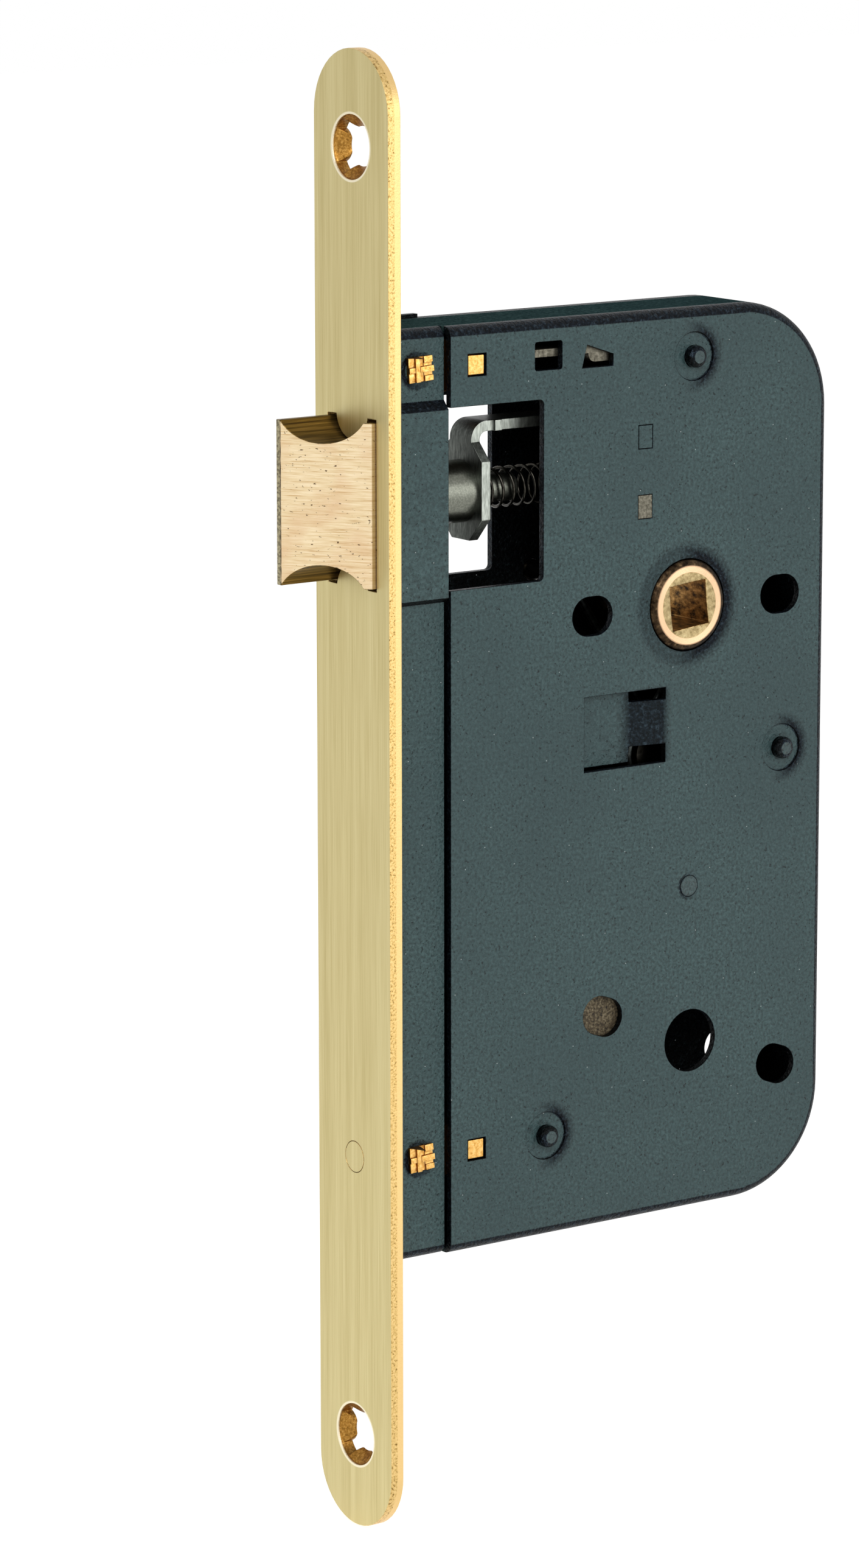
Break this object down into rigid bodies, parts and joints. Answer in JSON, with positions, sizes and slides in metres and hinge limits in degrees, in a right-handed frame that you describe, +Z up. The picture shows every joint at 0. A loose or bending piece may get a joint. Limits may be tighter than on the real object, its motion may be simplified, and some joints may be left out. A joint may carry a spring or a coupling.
{
  "type": "mortise latch",
  "caption": "Mortise latch: round-ended brass forend, folded steel case with a window showing the sprung bevelled latch and its carriage, and a square-holed follower that draws it back.",
  "frame": {"origin": "centre of the forend's front face, midway between its two screws", "axes": "+X into the door (the latch points to -X), +Z up along the forend, +Y through the case away from the plate with the pressed tab"},
  "size_m": [0.0985, 0.02, 0.235],
  "materials": {
    "forend": "fine brushed, bare brass",
    "foot_upper": "bright, staked stud ends",
    "foot_lower": "bright, staked stud ends",
    "case_tray": "dark slate green-grey stoved paint, fine orange peel",
    "case_cover": "dark slate green-grey stoved paint, fine orange peel",
    "rivet_upper": "painted over",
    "rivet_rear": "painted over",
    "rivet_lower": "painted over",
    "spacer_pin": "painted over, flush",
    "slot_plug": "rough sintered",
    "spring_wall": "sheared strip steel",
    "upper_strap": "sheared strip steel",
    "spring_post": "turned",
    "spring_peg": "turned",
    "follower": "turned rings on a dull bronze body",
    "follower_spring": "oiled spring wire",
    "latch_head": "rubbed bevel, brushed grooves",
    "latch_stem": "satin, pitted",
    "latch_carriage": "bright strip with sheared edges",
    "latch_spring": "dark spring wire"
  },
  "bodies": {
    "case": {"forend": "forend", "foot_upper": "foot_upper", "foot_lower": "foot_lower", "case_tray": "case_tray", "case_cover": "case_cover", "rivet_upper": "rivet_upper", "rivet_rear": "rivet_rear", "rivet_lower": "rivet_lower", "spacer_pin": "spacer_pin", "slot_plug": "slot_plug", "spring_wall": "spring_wall", "upper_strap": "upper_strap", "spring_post": "spring_post", "spring_peg": "spring_peg", "follower_spring": "follower_spring", "latch_spring": "latch_spring"},
    "latch": {"latch_head": "latch_head", "latch_stem": "latch_stem", "latch_carriage": "latch_carriage"},
    "follower": {"follower": "follower"}
  },
  "joints": [
    {"name": "latch_slide", "type": "slide", "parent": "case", "child": "latch", "axis": [1, 0, 0], "range_m": [0, 0.0094], "stiffness_N_per_m": 874, "springref_m": -0.018, "deforming": ["latch_spring"]},
    {"name": "follower_turn", "type": "hinge", "parent": "case", "child": "follower", "pos_m": [0.06, 0, 0.027], "axis": [0, 1, 0], "range_deg": [0, 26.72], "deforming": ["follower_spring"]}
  ],
  "couplings": [
    {"joint": "follower_turn", "follows": "latch_slide", "rad_per_m": 49.588}
  ]
}
